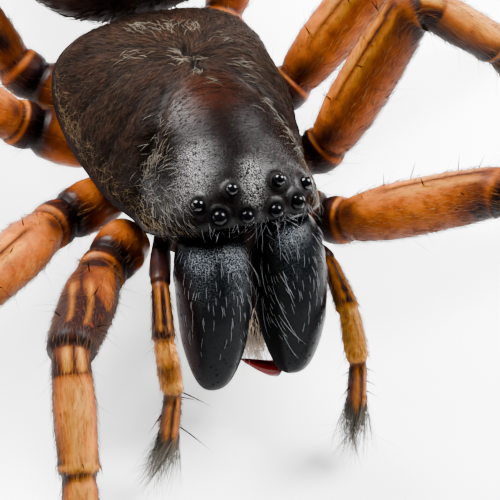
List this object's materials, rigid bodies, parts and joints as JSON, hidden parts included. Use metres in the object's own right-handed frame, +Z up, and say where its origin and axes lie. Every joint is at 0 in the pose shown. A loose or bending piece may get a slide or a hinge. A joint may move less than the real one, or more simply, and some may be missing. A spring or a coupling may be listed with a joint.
{
  "type": "sac spider model",
  "caption": "Life-size model of an adult female sac spider, Clubiona pallidula, standing on its spread legs, with a dark head, heavy jaws and amber legs.",
  "frame": {"origin": "on the floor, under the middle of the spider's whole footprint", "axes": "+X towards the spider's left, -Y the way its head looks, +Z up"},
  "size_m": [0.0136, 0.0172, 0.0037],
  "materials": {
    "head_shell": "satin near-black shell with fine grain, brown towards the back",
    "jaw_shell": "satin blue-black shell, finely granular",
    "fang_horn": "glossy dark red horn",
    "mouth_skin": "matt brown with a cream fringe",
    "breast_plate": "satin brown plate",
    "leg_amber": "satin amber with dark joints and fine pale hair",
    "abdomen_skin": "soft dark reddish brown skin under short silky hair",
    "eye_lens": "black domed lenses",
    "hair": "fine pale to black hairs and spines"
  },
  "bodies": {
    "root": {"abdomen": "abdomen_skin", "carapace": "head_shell", "chelicera_l": "jaw_shell", "chelicera_r": "jaw_shell", "endite_l": "mouth_skin", "endite_r": "mouth_skin", "eye_ale_l": "eye_lens", "eye_ale_r": "eye_lens", "eye_ame_l": "eye_lens", "eye_ame_r": "eye_lens", "eye_ple_l": "eye_lens", "eye_ple_r": "eye_lens", "eye_pme_l": "eye_lens", "eye_pme_r": "eye_lens", "fang_l": "fang_horn", "fang_r": "fang_horn", "labium": "mouth_skin", "leg_1_l": "leg_amber", "leg_1_r": "leg_amber", "leg_2_l": "leg_amber", "leg_2_r": "leg_amber", "leg_3_l": "leg_amber", "leg_3_r": "leg_amber", "leg_4_l": "leg_amber", "leg_4_r": "leg_amber", "palp_l": "leg_amber", "palp_r": "leg_amber", "pedicel": "abdomen_skin", "rostrum": "mouth_skin", "spinnerets": "abdomen_skin", "sternum": "breast_plate"}
  },
  "joints": []
}
